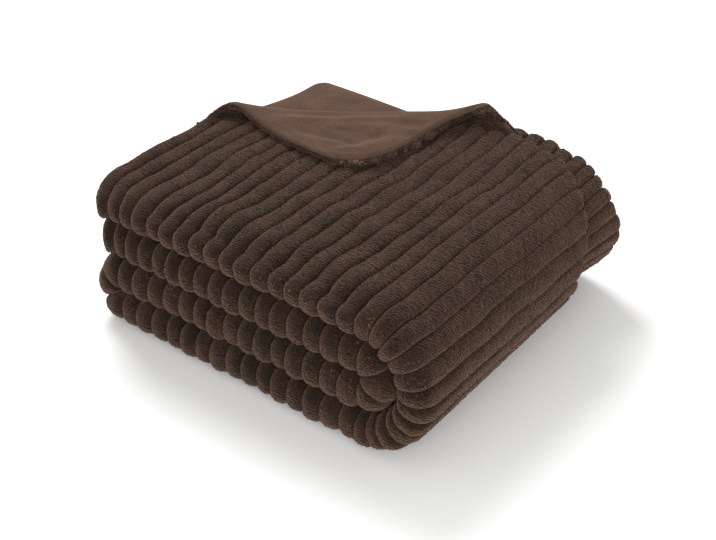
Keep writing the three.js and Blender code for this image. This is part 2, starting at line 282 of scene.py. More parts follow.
def settle(x, y, z):
    """Where a point of the even stack lies in the soft one, as the solids have it."""
    leftness = np.maximum(0, 1 - x / LEFT_END) ** 2
    upper = z >= 2 * TIER + FLOOR_LIFT
    top = z >= 3 * TIER + FLOOR_LIFT
    pinch = np.where(upper, UPPER_PINCH, LOWER_PINCH) * np.maximum(0, 1 - y / PINCH_DEPTH) ** 2
    skew = np.where(top, TOP_SKEW * smoothstep(200, 400, y), 0)
    sway = SWAY * np.sin(y / 70 + x / 90) * smoothstep(60, 140, x) * smoothstep(440, 380, x)
    tuck = (FOOT_TUCK + y / 35) * smoothstep(400, 520, x) * smoothstep(110, 25, z)
    swell = 1 + SWELL * np.sin(x / 70)
    return x + leftness * (pinch + skew) + sway - tuck, y, z * swell


def crest_lift(x, y):
    """How much higher the cloth lies near the ends of the turned-back corner's crest."""
    lift = 0
    for place, size in CREST_LIFTS:
        away = (x - place[0]) ** 2 + (y - place[1]) ** 2
        lift = lift + size * np.exp(-away / (2 * CREST_LIFT_SPREAD ** 2))
    return lift


def crease_y(x):
    """Where the top layer's cloth leaves it at the turned-back corner, as y for each x."""
    slope = CREST_DIR[1] / CREST_DIR[0]
    return CREST_START[1] + (x - CREST_START[0]) * slope - CREASE_OFFSET / CREST_DIR[0]


def corner_inset(x):
    """How far the rounded corner at the back left draws the hem in, for each x."""
    inside = (BACK_CORNER - x).clip(0, BACK_CORNER)
    return BACK_CORNER - np.sqrt(np.maximum(BACK_CORNER ** 2 - inside ** 2, 0))


def rib_profile(share, power=2.6):
    """A rib's height, 0 in the valleys and 1 on the crest."""
    return (1 - np.abs(2 * share - 1) ** power) ** 0.55


def arc(angles):
    a = np.radians(angles)
    return np.cos(a), np.sin(a)


def head_swell(beyond):
    """How much a rib swells at its shoulder and head, and narrows at its neck."""
    return bump(beyond, *SHOULDER) + 0.5 * bump(beyond, *HEAD), bump(beyond, *NECK)


def run_along(grid):
    """How far along its row each point of a grid lies."""
    steps = np.linalg.norm(np.diff(grid, axis=1), axis=2)
    return np.concatenate([np.zeros((len(grid), 1)), np.cumsum(steps, 1)], 1)


def fold_radius(puff):
    return (OUTER_FACE - INNER_FACE + puff) / 2


def cloth_section(hem, inner_hem, fold_y, nose_y, nose, puff):
    """The loop round the folded cloth at every place along the stack, one column for each of its points.

    Gives y, the height w off the tier's middle, the normal's y and w, how high ribs stand there, the
    place along the cloth's middle, and which of the columns are on the ribbed face. These come first.
    """
    half = THICKNESS / 2
    run = fold_y - nose_y
    back_radius = fold_radius(puff)
    back_level = back_radius - OUTER_FACE
    stretch = nose / OUTER_FACE
    start = np.minimum(inner_hem + HEM_CLEAR, fold_y - HEM_CLEAR)
    # Where the straights and bends start along the cloth's middle, counted from the hem
    nose_start = hem - nose_y
    bottom_start = nose_start + math.pi * 1.5 * LAYER
    fold_start = bottom_start + run
    inner_start = fold_start + math.pi * back_radius
    turn_start = inner_start + run
    last_start = turn_start + math.pi * 0.5 * LAYER
    columns = []

    def add(y, w, ny, nw, ribs, place):
        columns.append([np.broadcast_to(a, hem.shape).astype(float) for a in (y, w, ny, nw, ribs, place)])

    def add_hem(end, middle, ribs_above, ribs_below, place):
        for turn in (-60, -20, 20, 60):
            c, s = arc(turn)
            y = end - half * HEM_ROUND + half * HEM_ROUND * c
            add(y, middle + half * s, c, s, ribs_above if turn > 0 else ribs_below, place + turn / 60)

    # Top layer, from its rounded hem to the front
    add_hem(hem, (OUTER_FACE + OUTER_LINING) / 2, 0.75, 0.2, 0)
    past_hem = hem - HEM_CLEAR
    for part in np.linspace(0, 1, TOP_POINTS + 1)[:-1]:
        y = past_hem + part * (nose_y - past_hem)
        flatter = 1 - 0.4 * smoothstep(50, 170, y - nose_y)
        add(y, OUTER_FACE, 0, 1, flatter, hem - y)

    # Rounded front, bottom layer, back fold, and the two inner layers
    for turn in np.linspace(90, -90, NOSE_POINTS):
        c, s = arc(turn)
        fat_c, fat_s = (np.sign(a) * abs(a) ** NOSE_SQUARENESS for a in (c, s))
        place = nose_start + (90 - turn) / 180 * (bottom_start - nose_start)
        add(nose_y - stretch * OUTER_FACE * fat_c, OUTER_FACE * fat_s, -c, s, 1 + 0.35 * c, place)
    for part in np.linspace(0, 1, BOTTOM_POINTS + 2)[1:-1]:
        add(nose_y + part * run, -OUTER_FACE, 0, -1, 1, bottom_start + part * run)
    for turn in np.linspace(-90, 90, FOLD_POINTS):
        c, s = arc(turn)
        place = fold_start + (turn + 90) / 180 * (inner_start - fold_start)
        add(fold_y + back_radius * c, back_level + back_radius * s, c, s, 1 + 0.2 * c, place)
    for part in (0, 0.35, 0.7, 1):
        y = start + part * (nose_y - start)
        add(y, -INNER_FACE, 0, 1, 0.6 if part else 1, inner_start + fold_y - y)
    for part in (1, 0.7, 0.35, 0.1):
        y = inner_hem + part * (nose_y - inner_hem)
        add(y, INNER_FACE, 0, -1, 1 if part < 0.5 else 0.6, last_start + y - nose_y)
    add_hem(inner_hem, (INNER_FACE + INNER_LINING) / 2, 0.15, 0.6, last_start + inner_hem - nose_y)
    face_count = len(columns)

    # The smooth reverse, back again
    for part in (0.03, 0.12, 0.25, 0.45, 0.7):
        y = inner_hem + part * (nose_y - inner_hem)
        add(y, INNER_LINING, 0, 1, 0, last_start + y - nose_y)
    for turn in (90, 45, 0, -45, -90):
        c, s = arc(turn)
        place = turn_start + (turn + 90) / 180 * (last_start - turn_start)
        add(nose_y - stretch * INNER_LINING * c, INNER_LINING * s, 0, 0, 0, place)
    for y in (nose_y + 0.3 * (start - nose_y), nose_y + 0.6 * (start - nose_y), start):
        add(y, -INNER_LINING, 0, 0, 0, inner_start + fold_y - y)
    add(fold_y, puff - INNER_LINING, 0, 0, 0, inner_start)
    add(fold_y, -OUTER_LINING, 0, 0, 0, fold_start)
    for part in (0.6, 0.3):
        add(nose_y + part * run, -OUTER_LINING, 0, 0, 0, bottom_start + part * run)
    for turn in (-90, -45, 0, 45, 90):
        c, s = arc(turn)
        place = nose_start + (90 - turn) / 180 * (bottom_start - nose_start)
        add(nose_y - stretch * OUTER_LINING * c, OUTER_LINING * s, 0, 0, 0, place)
    for part in (0.2, 0.4, 0.6, 0.8, 0.97):
        y = nose_y + part * (hem - nose_y)
        add(y, OUTER_LINING, 0, 0, 0, hem - y)
    parts = (np.stack([c[k] for c in columns], 1) for k in range(6))
    section = SimpleNamespace(**dict(zip(("y", "w", "ny", "nw", "ribs", "place"), parts)))
    section.face_count = face_count
    section.on_face = np.arange(len(columns)) < face_count
    return section


def cloth_rows():
    """The places along the stack where its section is taken, with six numbers that set each rib apart."""
    rib = np.concatenate([(np.arange(RIBS)[:, None] + ACROSS).ravel(), [RIBS]]).astype(float)
    index = np.minimum(np.floor(rib), RIBS - 1)
    share = rib - index
    x, z, nx, nz, at = path(rib)
    own = np.random.default_rng(7).uniform(-1, 1, (RIBS, 6))[index.astype(int)]
    low = 1 - rib_profile(share, np.where((at > 1) & (at < 2), TURN_CREST, OPEN_CREST))
    return SimpleNamespace(rib=rib, share=share, low=low, x=x, z=z, nx=nx, nz=nz, at=at, own=own)


def cloth_depths(rows):
    """How far back the hems and the back fold lie, the noses' start and length, and the fold's puff."""
    hem, inner_hem, fold, puff, nose = (np.interp(rows.at, DEPTH[:, 0], DEPTH[:, k]) for k in range(1, 6))
    # The top layer stops at the turned-back corner's crease
    rows.folded = (rows.at <= 1) & (crease_y(rows.x) < hem)
    hem = np.where(rows.folded, crease_y(rows.x), hem)
    hem = hem + np.where(rows.at > 1, HEM_STRAY * rows.own[:, 0], 0)
    rounded = np.where(rows.z > 2 * TIER, corner_inset(rows.x), 0)
    inner_hem = inner_hem + INNER_HEM_STRAY * rows.own[:, 1] * (rows.at > 1) - rounded
    fold_y = fold + FOLD_STRAY * rows.own[:, 2] - fold_radius(puff)
    nose = nose * (1 + NOSE_STRAY * rows.own[:, 4])
    nose_y = FRONT_STRAY * rows.own[:, 3] + nose
    return hem, inner_hem, fold_y, nose_y, nose, puff


def rib_relief(rows, section):
    """How far the valleys between the ribs sink in, and how far the crests stand out."""
    at, share, low = rows.at[:, None], rows.share[:, None], rows.low[:, None]
    sink = RIB_HEIGHT * (1 + HEIGHT_STRAY * rows.own[:, 5:6]) * section.ribs * low
    # Flatter down the right turn, and where the ribs lie on the surface
    wrapped = smoothstep(0.98, 1.15, at) * smoothstep(2.0, 1.85, at)
    sink = sink * (1 - 0.35 * wrapped * smoothstep(20, 90, section.y))
    flat_bottom = (at >= 2) & (at <= 3) & (section.w > OUTER_FACE - 1)
    sink = np.where(flat_bottom, 0.45 * sink, sink)
    return sink, 0.6 * (1 - np.abs(2 * share - 1)) * (~flat_bottom)


def shoulder_relief(rows, section, nose_y):
    """Behind the top layer's rounded fronts, how much deeper the valleys are and how far the crests rise."""
    behind = section.y - nose_y[:, None]
    round_front = 36 * (np.arctan2(section.nw, -section.ny) - math.pi / 2)
    beyond = np.where((section.ny < 0) & (section.y < nose_y[:, None] + 1), round_front, behind)
    bulge, neck = head_swell(beyond - SHOULDER_STRAY * rows.own[:, 0:1])
    grown = smoothstep(70, 150, rows.x) * smoothstep(470, 440, rows.x)
    grown = (grown * (0.75 + 0.35 * rows.own[:, 1]) * (rows.at <= 1.2))[:, None]
    rise = (SHOULDER_RISE * bulge - NECK_DROP * neck) * grown * (section.nw > -0.2) * (section.w > 0)
    return 1 + 0.35 * neck * grown, rise


def shape_ribs(rows, section, nose_y):
    """Move the section's points in and out, so that they follow the ribs and the cloth's two ends."""
    sink, crest = rib_relief(rows, section)
    deeper, rise = shoulder_relief(rows, section, nose_y)
    edge = 1 - smoothstep(0, 0.35, np.minimum(rows.rib, RIBS - rows.rib))
    thinned = edge[:, None] * section.on_face * (THICKNESS - 3 - sink).clip(0)
    move = sink * deeper - (crest + rise) + thinned
    section.y = section.y - move * section.ny
    section.w = section.w - move * section.nw

    # The hems dip between the ribs, so that each rib ends round
    near_hem = np.zeros(section.y.shape[1])
    near_hem[:7] = (1, 1, 1, 1, 0.75, 0.4, 0.15)
    section.y = section.y - near_hem * HEM_DIP * (rows.low[:, None] ** 1.3) * ~rows.folded[:, None]


def lay_softly(rows, section):
    """The points' places in the soft stack, with what an even one lacks: wandering ribs and shallow dents."""
    rib, nx, nz = rows.rib[:, None], rows.nx[:, None], rows.nz[:, None]
    y, w = section.y, section.w
    x = rows.x[:, None] + nx * w
    z = np.maximum(rows.z[:, None] + nz * w, 0)
    layer_top = (rows.at[:, None] <= 1) & (w > OUTER_LINING - LAYER_GAP / 2)

    inside = smoothstep(0, 60, rib * RIB_PITCH) * smoothstep(0, 60, (RIBS - rib) * RIB_PITCH)
    wavy = 2.6 + 2.2 * smoothstep(300, 160, x) * layer_top
    wander = wavy * noise(rib / 2.6, y / 62, seed=11, octaves=2) * inside * smoothstep(-20, 60, y)
    along = 1.6 * noise(rib / 1.3, y / 60 + 9, seed=12)
    dent = (1.5 + 1.3 * smoothstep(90, 150, y)) * noise(rib / 1.7, y / 40, seed=13, octaves=2)
    x = x + wander * nz
    z = np.maximum(z + wander * -nx, 0)
    y = y + along * (np.abs(section.ny) > 0.3)
    x, y, z = settle(x, y, z)
    z = z + np.where(layer_top, crest_lift(x, y), 0)
    z = z + np.where(layer_top & (section.nw > 0.3), dent - 1.0, 0)
    hang = 1.6 * noise(x / 120, y / 120, seed=14) * z / 210
    return np.stack([x, y, np.maximum(z + hang, 0)], -1)


def cloth_caps(section, count, total):
    """Both ends close across the cloth's thickness, between points at like places along it."""
    place, face_count = section.place, section.face_count
    caps = []
    for row in (0, count - 1):
        def take_first(i, j):
            return i + 1 < face_count and (j <= face_count or place[row, i + 1] <= place[row, j - 1])
        caps += end_cap(row * total, total, take_first, row > 0)
    return np.array(caps)


def build_cloth():
    rows = cloth_rows()
    depths = cloth_depths(rows)
    section = cloth_section(*depths)
    shape_ribs(rows, section, nose_y=depths[3])
    grid = lay_softly(rows, section)
    count, total = grid.shape[:2]
    faces = grid_faces(count, total, True)
    lined = np.tile(~section.on_face & ~np.roll(section.on_face, -1), count - 1).astype(int)
    lively = 0.3 + 0.7 * smoothstep(105, 55, grid[:, :, 1])
    spots = np.stack(np.broadcast_arrays(rows.rib[:, None] * RIB_PITCH, run_along(grid), lively), -1)
    caps = cloth_caps(section, count, total)
    return grid.reshape(-1, 3), faces, lined, caps, grid, spots, section.face_count


# the turned-back corner

def crest_radius(along):
    off = np.abs(along / CREST_LENGTH - 0.5) * 2
    fuller = 2.2 * bump(along / CREST_LENGTH, 0.72, 0.16)
    return CREST_RADIUS[0] + (CREST_RADIUS[1] - CREST_RADIUS[0]) * np.minimum(off, 1.1) ** 3 + fuller


def flap_point(along, past, off):
    """A point of the corner: along the crest, past the crease, off the cloth's middle."""
    radius = crest_radius(along)
    crease = -(radius + FLAP_THICKNESS / 2 + FLAP_SKIN)
    bend = math.pi * radius
    resting = TOP_FACE + FLAP_REST_GAP + FLAP_THICKNESS / 2
    root = TOP_UNDERSIDE + FLAP_ROOT_GAP + FLAP_THICKNESS / 2
    flat = np.maximum(past - bend, 0)
    angle = np.clip(past / radius, 0, math.pi)
    across = crease + np.where(past > 0, radius * np.sin(angle), past) - flat
    settled = smoothstep(0, 60, flat)
    height = root + radius * (1 - np.cos(angle))
    height = height + (resting - (root + 2 * radius)) * settled * (past > bend)
    across = across - off * np.sin(angle)
    height = height + off * np.cos(angle)
    x = CREST_START[0] + along * CREST_DIR[0] + across * CREST_NORMAL[0]
    y = CREST_START[1] + along * CREST_DIR[1] + across * CREST_NORMAL[1]
    return x, y, height + crest_lift(x, y)


def rib_place(x, y, z):
    """How far across its rib a point of the top layer lies, 0 and 1 in the valleys."""
    for _ in range(2):
        moved = settle(x, y, z)[0]
        x = x - 0.5 * (moved - x)
    top = STRETCHES[0]
    place = (x - top["start"]) / (top["end"] - top["start"]) * top["ribs"]
    return place - np.floor(place)


def wrinkles(along, past, bend, reach):
    """Soft folds and a ridge in the corner's smooth face, as heights."""
    flat = np.maximum(past - bend, 0)
    off_hem = smoothstep(0, 22, reach - past)
    folds = 3.4 * noise((along * 0.9 + past * 0.5) / 52, (past - 0.4 * along) / 27, seed=22, octaves=2)
    folds = folds + 2.2 * bump(past - 62 - 0.16 * (along - 190), 0, 10) * smoothstep(110, 170, along)
    folds = folds - 2.2 * bump(past - 96 + 0.5 * (along - 200), 0, 10) * smoothstep(250, 190, along)
    ridge = 1.8 * bump(flat - 19 - 4 * np.sin(along / 50), 0, 7)
    ridge = ridge * smoothstep(50, 95, along) * smoothstep(290, 230, along)
    pressed = 0.5 * noise(along / 11, past / 11, seed=24)
    return (folds + pressed) * (smoothstep(4, 34, flat) * off_hem) + ridge * off_hem


def flap_reach(along):
    """How much cloth lies past the crease, smoothed and a little uneven."""
    reach = np.interp(along, FLAP[:, 0], FLAP[:, 1])
    for _ in range(3):
        reach[1:-1] = (reach[:-2] + 2 * reach[1:-1] + reach[2:]) / 4
    return reach + 1.2 * noise(along / 24, along * 0, seed=21, octaves=2) * smoothstep(20, 60, along)


def hem_tufts(along, reach):
    """Beyond its tip the corner's hem was the back hem, where every rib ends in a tuft.

    Gives how far the ribbed side stands out past the hem, and where the hem lies with its painted light:
    painted highlight on the tufts, painted shade between them and along the rest of the hem.
    """
    hem_x, hem_y, _ = flap_point(along, reach, 0)
    run = np.concatenate([[0], np.cumsum(np.hypot(np.diff(hem_x), np.diff(hem_y)))])
    tip = int(np.argmax(reach))
    number = (run - run[tip]) / TUFT_PITCH + 0.4
    whole = np.floor(number)
    size = np.random.default_rng(23).uniform(0.55, 1.1, 64)[whole.astype(int) % 64]
    tufted = np.arange(len(along)) >= tip - 6
    shape = np.where(tufted, size * rib_profile(number - whole), 1)
    # Painted light on the hem's pile: tufts painted lighter as painted highlight, the untufted hem painted
    # darker as painted shade, all of it halved towards the corner's far end
    light = np.where(tufted, shape, 0.25) * (1 - 0.5 * smoothstep(285, 335, along))
    return shape * np.interp(along, FLAP[:, 0], FLAP[:, 2]), (hem_x, hem_y, light)


def build_flap():
    along = np.linspace(FLAP[0, 0], FLAP[-1, 0], FLAP_ROWS)
    reach = flap_reach(along)
    bend = np.minimum(math.pi * crest_radius(along), 0.9 * reach)
    # edge holds the hem's points with their painted light
    tuft, edge = hem_tufts(along, reach)
    half = FLAP_THICKNESS / 2
    top = half + FLAP_SKIN
    ends_drop = -9 * (1 - smoothstep(0, 13, reach))
    rows, smooth_side = [], []

    def put(past, off, is_smooth, lift=0):
        x, y, z = flap_point(along, past, off)
        rows.append(np.stack([x, y, z + lift + ends_drop], -1))
        smooth_side.append(is_smooth)

    # From the root the ribbed side goes round the bend and along the flat to the hem
    root = np.full_like(along, -15)
    put(root, half - 5, False)
    ridge = rib_profile(rib_place(*flap_point(along, np.zeros_like(along), half)))
    for part in np.linspace(0, 1, BEND_POINTS + 1)[:-1]:
        past = part * bend
        put(past, 1.5 + 4.4 * ridge * smoothstep(0, 12, reach - past), False)
    for part in np.linspace(0, 1, FLAT_POINTS):
        put(bend + part * (reach - 4 - bend), half - 1.2, False)

    # A rounded hem, with the ribs' ends standing out below it
    middle, hem_half = (half - top) / 2, (half + top) / 2
    squeeze = np.where(tuft > 3, 0.7, 0.94)
    for turn in np.linspace(70, -70, HEM_POINTS):
        c, s = arc(turn)
        out = 5.5 * c + tuft * smoothstep(-0.3, 0.3, s)
        put(reach - 4 + out, middle + hem_half * s * squeeze, turn < -5)

    # The smooth side goes back to the root
    for part in np.linspace(1, 0, FACE_POINTS):
        past = bend + part * (reach - 5 - bend)
        put(past, -top, True, wrinkles(along, past, bend, reach))
    for part in np.linspace(1, 0, FACE_BEND_POINTS + 1)[1:]:
        put(part * bend, -top, True)
    put(root, -half + 0.5, True)

    grid = np.stack(rows, 1)
    count = grid.shape[1]
    faces = grid_faces(len(along), count, True)[:, ::-1]
    smooth_side = np.array(smooth_side)
    lined = np.tile(smooth_side & np.roll(smooth_side, -1), len(along) - 1).astype(int)
    caps = []
    for row in (0, len(along) - 1):
        caps += end_cap(row * count, count, lambda i, j: (i + j) % 2, row == 0)
    spots = np.stack(np.broadcast_arrays(along[:, None], run_along(grid), 1.0), -1)
    ribbed_count = int((~smooth_side).sum())
    return grid.reshape(-1, 3), faces, lined, np.array(caps), grid, spots, ribbed_count, edge


# pile

PILE_LENGTH = 5.6
PILE_WIDTH = 1.05
HEM_PILE_WIDTH = 1.0
CLOTH_BLADES = 560000
CORNER_BLADES = 26000
PILE_PIECES = 4
# How much free space a quad has in front of it if it carries pile, on the cloth and on the corner
CLOTH_ROOM = 5.5
CORNER_ROOM = 2.5


def tuft_painted_light(blades, edge):
    """Each blade tip's painted light: painted highlight on the tufts of the turned corner's hem, painted
    shade between them.
    """
    edge_x, edge_y, light = edge
    away = np.hypot(blades[:, 0, :1] - edge_x, blades[:, 0, 1:2] - edge_y)
    on_hem = smoothstep(14, 6, away.min(1))
    return 1 + on_hem * (3.4 * light[away.argmin(1)] ** 1.5 - 0.75)


def unit(vectors):
    return vectors / np.maximum(np.linalg.norm(vectors, axis=1, keepdims=True), 1e-9)


def pile_lean(u, v, lively, random):
    """How far each blade leans across and along the ribs, and how nearly the bands part where it stands."""
    # The pile leans one way and the other in bands, more so in some patches
    combed = np.sin(2 * math.pi * (v / 5.2 + 0.9 * noise(u / 11, v / 16, seed=55, octaves=2)))
    patches = 0.35 + 1.5 * smoothstep(-0.2, 0.5, noise(u / 30, v / 24, seed=56))
    lean_v = 0.3 + lively * patches * (combed + 0.8 * noise(u / 9, v / 5, seed=52))
    lean_u = (0.2 + 0.4 * lively) * noise(u / 9 + 40, v / 7, seed=53, octaves=2)
    lean_u = lean_u + 0.22 * random.standard_normal(len(u))
    lean_v = lean_v + 0.18 * random.standard_normal(len(u))
    parted = lively * patches * smoothstep(-0.3, -0.9, combed)
    return lean_u[:, None], lean_v[:, None], parted[:, None]


def pile_blades(grid, spots, chosen, count, random, width, outward=1):
    """Short leaning blades of pile rooted on the chosen quads of a grid, as three points each."""
    i, j = np.nonzero(chosen)
    k = (j + 1) % grid.shape[1]
    a, b, c, d = grid[i, j], grid[i + 1, j], grid[i + 1, k], grid[i, k]
    normal = np.cross(c - a, d - b) * outward
    size = np.linalg.norm(normal, axis=1)
    pick = random.choice(len(i), count, p=size / size.sum())
    s, t = random.random((2, count, 1))
    a, b, c, d = a[pick], b[pick], c[pick], d[pick]
    root = a * (1 - s) * (1 - t) + b * s * (1 - t) + c * s * t + d * (1 - s) * t
    n = normal[pick] / size[pick, None]
    across = (b - a) + (c - d)
    across = unit(across - n * (across * n).sum(1, keepdims=True))
    lengthwise = np.cross(n, across)

    # u is the root's place across the ribs and v its place along them, in millimetres
    low, high = spots[i, j][pick], spots[i + 1, k][pick]
    high = np.where(np.abs(high - low) > 40, low, high)
    u = low[:, 0] + s[:, 0] * (high[:, 0] - low[:, 0])
    v = low[:, 1] + t[:, 0] * (high[:, 1] - low[:, 1])
    lively = low[:, 2]
    lean_u, lean_v, parted = pile_lean(u, v, lively, random)
    way = n * 0.75 + across * lean_u + lengthwise * lean_v
    way /= np.linalg.norm(way, axis=1, keepdims=True)
    side = np.cross(n, way) + 0.35 * random.standard_normal((count, 3))
    side = unit(side - way * (side * way).sum(1, keepdims=True))

    # Blades are shorter where the bands part
    uneven = 1 + 0.15 * noise(u / 25, v / 25, seed=54)[:, None]
    long = PILE_LENGTH * random.uniform(0.65, 1.15, (count, 1)) * uneven
    long = long * (0.78 + 0.34 * lively[:, None]) * (1 - 0.3 * parted.clip(0, 1.2))
    wide = width * random.uniform(0.7, 1.2, (count, 1)) / 2
    foot = root - n * 0.8
    blades = np.stack([foot - side * wide, foot + side * wide, foot + way * long], 1)
    blades[:, :, 2] = np.maximum(blades[:, :, 2], 0)
    return blades


def exposed(grid, tree, shown_columns, room, outward=1):
    """Which quads in the first columns of a grid have free space in front of them."""
    a, b = grid[:-1], grid[1:]
    c, d = np.roll(b, -1, 1), np.roll(a, -1, 1)
    normal = np.cross(c - a, d - b) * outward
    size = np.linalg.norm(normal, axis=2, keepdims=True)
    normal = normal / np.maximum(size, 1e-9)
    middle = (a + b + c + d) / 4
    free = np.zeros(a.shape[:2], bool)
    for i in range(len(a)):
        for j in range(shown_columns):
            place = Vector((middle[i, j] + normal[i, j] * 0.8).tolist())
            hit = tree.ray_cast(place, Vector(normal[i, j].tolist()), room)
            free[i, j] = hit[0] is None and size[i, j, 0] > 1e-6
    return free


def add_pile(blades, light, random):
    """The blades as a few pieces, each an even share of them all; light is each tip's painted light."""
    order = random.permutation(len(blades))
    pieces = []
    for number in range(PILE_PIECES):
        share = order[number::PILE_PIECES]
        corners = blades[share].reshape(-1, 3)
        triangles = np.arange(len(corners)).reshape(-1, 3)
        piece = mesh_object(f"pile_{number + 1}", corners, triangles, ribbed_plush, smooth=False)
        # The tip attribute is 0 at each blade's root and the painted light at its tip
        tip = piece.data.attributes.new("tip", "FLOAT", "POINT")
        tip.data.foreach_set("value", np.outer(light[share], (0, 0, 1)).ravel())
        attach(piece, "root")
        pieces.append(piece)
    return pieces


# the layer below the corner

def build_uncovered():
    """The smooth reverse of the layer below the corner: a thin cloth skin with soft waves."""
    shape = (UNCOVERED_ROWS, UNCOVERED_COLUMNS)
    low = 3.5 * TIER + INNER_LINING + FLOOR_LIFT + 0.3
    u = np.linspace(*UNCOVERED_X, UNCOVERED_ROWS)[:, None] * np.ones(shape)
    v = np.ones(shape) * np.linspace(0, 1, UNCOVERED_COLUMNS)
    crest = CREST_START[1] + (u - CREST_START[0]) * CREST_DIR[1] / CREST_DIR[0]
    first = np.maximum(crest - 4, UNCOVERED_Y[0])
    last = UNCOVERED_Y[1] - corner_inset(u - 4)
    y = first + v * (last - first)
    wave = 0.9 * noise(u / 55, y / 40, seed=31, octaves=2)
    edge = np.minimum(u - UNCOVERED_X[0], last - y).clip(0)
    drop = 1.2 * (1 - smoothstep(0, 9, edge))
    x, y, z = settle(u, y, np.full_like(u, low))
    skin = 1.9 + wave * smoothstep(0, 20, edge) * 0.8
    upper = np.stack([x, y, z + skin - drop], -1).reshape(-1, 3)
    lower = np.stack([x, y, z], -1).reshape(-1, 3)

    # The upper and lower faces, joined by a rim round their outline
    quads = grid_faces(*shape, False)
    index = np.arange(u.size).reshape(shape)
    outline = np.concatenate([index[:, 0], index[-1, 1:], index[-2::-1, -1], index[0, -2:0:-1]])
    following = np.roll(outline, -1)
    rim = np.stack([outline, following, following + u.size, outline + u.size], -1)
    faces = np.concatenate([quads, quads[:, ::-1] + u.size, rim[:, ::-1]])
    return np.concatenate([upper, lower]), faces


# materials

class Graph:
    """Short ways to add nodes to a material."""

    def __init__(self, material):
        material.use_nodes = True
        self.nodes, self.links = material.node_tree.nodes, material.node_tree.links
        self.shader = self.nodes["Principled BSDF"]

    def noise(self, where, scale, detail, stretch=None):
        """A noise texture over the object's own metres, stretched where it is asked for."""
        texture = self.nodes.new("ShaderNodeTexNoise")
        texture.inputs["Scale"].default_value = scale
        texture.inputs["Detail"].default_value = detail
        texture.inputs["Roughness"].default_value = 0.6
        if stretch:
            mapping = self.nodes.new("ShaderNodeMapping")
            mapping.inputs["Scale"].default_value = stretch
            self.links.new(where, mapping.inputs["Vector"])
            where = mapping.outputs["Vector"]
        self.links.new(where, texture.inputs["Vector"])
        return texture.outputs["Fac"]

    def ranged(self, value, low, high, to_low, to_high):
        spread = self.nodes.new("ShaderNodeMapRange")
        for place, number in enumerate((low, high, to_low, to_high), 1):
            spread.inputs[place].default_value = number
        self.links.new(value, spread.inputs[0])
        return spread.outputs[0]

    def math(self, operation, first, second=0):
        node = self.nodes.new("ShaderNodeMath")
        node.operation = operation
        for place, value in enumerate((first, second)):
            if isinstance(value, (int, float)):
                node.inputs[place].default_value = value
            else:
                self.links.new(value, node.inputs[place])
        return node.outputs[0]


def mottled_colour(graph, where, tones, scale):
    ramp = graph.nodes.new("ShaderNodeValToRGB")
    first, last = ramp.color_ramp.elements
    first.position, last.position = 0.36, 0.66
    first.color, last.color = (*tones[0], 1), (*tones[2], 1)
    ramp.color_ramp.elements.new(0.5).color = (*tones[1], 1)
    graph.links.new(graph.noise(where, scale, 4), ramp.inputs["Fac"])
    return ramp.outputs["Color"]


def painted_parting_shade(graph, where, shade_depth):
    """Bands of y + z across the ribs, bent and broken up by noise: the painted shade in these partings of the
    pile, and how much cloth is left.
    """
    place = graph.nodes.new("ShaderNodeSeparateXYZ")
    graph.links.new(where, place.inputs[0])
    bend = graph.noise(where, 70, 2)
    height = graph.math("ADD", place.outputs["Y"], place.outputs["Z"])
    bands = graph.math("MULTIPLY", height, 2 * math.pi / PARTING_PITCH)
    bands = graph.math("ADD", bands, graph.math("MULTIPLY", bend, 26))
    waves = graph.ranged(graph.math("SINE", bands), -0.5, 0.6, 0, 1)
    broken = graph.ranged(graph.noise(where, 1, 2, PARTING_STRETCH), 0.40, 0.54, 0, 1)
    left = graph.math("SUBTRACT", 1, graph.math("MULTIPLY", waves, broken))
    # The painted shade is deeper in clusters, and on the front folds
    clusters = graph.ranged(graph.noise(where, 17, 2), 0.38, 0.58, 0.3 * shade_depth, shade_depth)
    front = graph.ranged(place.outputs["Y"], *STREAKS_FADE, 1, 0.35)
    parting_shade = graph.math("MULTIPLY", graph.math("MULTIPLY", clusters, front), graph.math("SUBTRACT", 1, left))
    return parting_shade, left


def plush_material(name, tones, parting_shade_depth, mottle_scale, bump_depth, sheen, painted_root_shade_tip_light=None):
    """Brushed plush: mottled colour, painted shade in short partings across the ribs, and a fine grain."""
    material = bpy.data.materials.new(name)
    graph = Graph(material)
    where = graph.nodes.new("ShaderNodeTexCoord").outputs["Object"]
    colour = mottled_colour(graph, where, tones, mottle_scale)
    parting_shade, left = painted_parting_shade(graph, where, parting_shade_depth)
    grain = graph.noise(where, 760, 2)
    speckle = graph.ranged(grain, 0.3, 0.7, 0.62, 1.5)
    # Random grain, times the partings' painted shade
    shade = graph.math("MULTIPLY", speckle, graph.math("SUBTRACT", 1.16, parting_shade))
    if painted_root_shade_tip_light:
        # The pile's blades carry this number, from 0 at their roots to 1 or more at their tips; it paints
        # their roots darker as painted shade and their tips lighter as painted highlight
        tip = graph.nodes.new("ShaderNodeAttribute")
        tip.attribute_name = "tip"
        shade = graph.math("MULTIPLY", shade, graph.ranged(tip.outputs["Fac"], 0.1, 0.75, *painted_root_shade_tip_light))
    scaled = graph.nodes.new("ShaderNodeVectorMath")
    scaled.operation = "SCALE"
    graph.links.new(colour, scaled.inputs[0])
    graph.links.new(shade, scaled.inputs["Scale"])
    graph.links.new(scaled.outputs["Vector"], graph.shader.inputs["Base Color"])

    relief = graph.nodes.new("ShaderNodeBump")
    relief.inputs["Strength"].default_value = 0.6
    relief.inputs["Distance"].default_value = bump_depth
    graph.links.new(graph.math("ADD", grain, left), relief.inputs["Height"])
    graph.links.new(relief.outputs["Normal"], graph.shader.inputs["Normal"])
    graph.shader.inputs["Roughness"].default_value = 0.9
    graph.shader.inputs["Specular IOR Level"].default_value = 0.1
    graph.shader.inputs["Sheen Weight"].default_value = sheen
    graph.shader.inputs["Sheen Roughness"].default_value = 0.45
    graph.shader.inputs["Sheen Tint"].default_value = SHEEN_TINT
    return material


